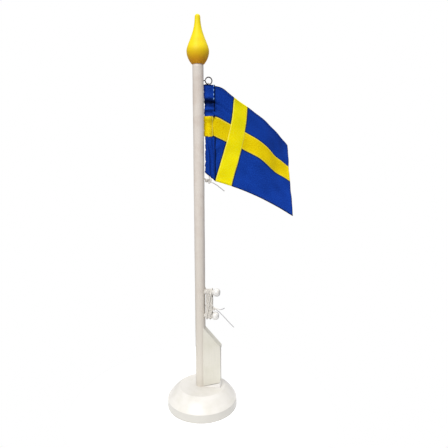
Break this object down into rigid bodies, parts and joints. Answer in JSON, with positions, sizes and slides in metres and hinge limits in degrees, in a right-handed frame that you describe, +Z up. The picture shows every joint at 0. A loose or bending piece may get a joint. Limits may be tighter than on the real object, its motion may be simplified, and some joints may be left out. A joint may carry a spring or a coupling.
{
  "type": "desk flag stand",
  "caption": "White turned wooden desk stand with a dowel pole, flame finial, cord cleat and a hoisted blue cloth flag with an offset yellow cross.",
  "frame": {"origin": "centre of the base's underside, on the desk", "axes": "+Z up along the pole, +X along the support board and the cleat pegs"},
  "size_m": [0.1184, 0.1197, 0.371],
  "materials": {
    "white_paint": "brush-painted white, semi-gloss",
    "yellow_paint": "gloss enamel",
    "dark_steel": "dull wire",
    "white_cord": "twisted cotton",
    "blue_cloth": "woven ribbon",
    "yellow_cloth": "woven ribbon"
  },
  "bodies": {
    "stand": {"base": "white_paint", "pole": "white_paint", "finial": "yellow_paint", "support_board": "white_paint", "support_wedge": "white_paint", "top_eye": "dark_steel", "upper_peg": "white_paint", "lower_peg": "white_paint", "halyard_run": "white_cord", "cleat_hank": "white_cord", "halyard_knot": "white_cord", "halyard_long_tail": "white_cord", "halyard_short_tail": "white_cord", "cleat_lead": "white_cord", "downhaul_run": "white_cord", "hoist_strand": "white_cord"},
    "carriage": {"hoist_line": "white_cord", "lower_tie": "white_cord", "lower_tail": "white_cord"},
    "flag": {"sleeve_upper": "blue_cloth", "sleeve_band": "yellow_cloth", "sleeve_lower": "blue_cloth", "upper_hoist_panel": "blue_cloth", "cross_hoist_arm": "yellow_cloth", "lower_hoist_panel": "blue_cloth", "cross_upright": "yellow_cloth", "upper_fly_panel": "blue_cloth", "cross_fly_arm": "yellow_cloth", "lower_fly_panel": "blue_cloth"}
  },
  "joints": [
    {"name": "hoist_slide", "type": "slide", "parent": "stand", "child": "carriage", "axis": [0, 0, -1], "range_m": [0, 0.09], "deforming": ["hoist_strand", "downhaul_run"]},
    {"name": "flag_swing", "type": "hinge", "parent": "carriage", "child": "flag", "pos_m": [0.00729, 0.0049, 0.27], "axis": [0, 0, 1], "range_deg": [-120, 95]}
  ]
}
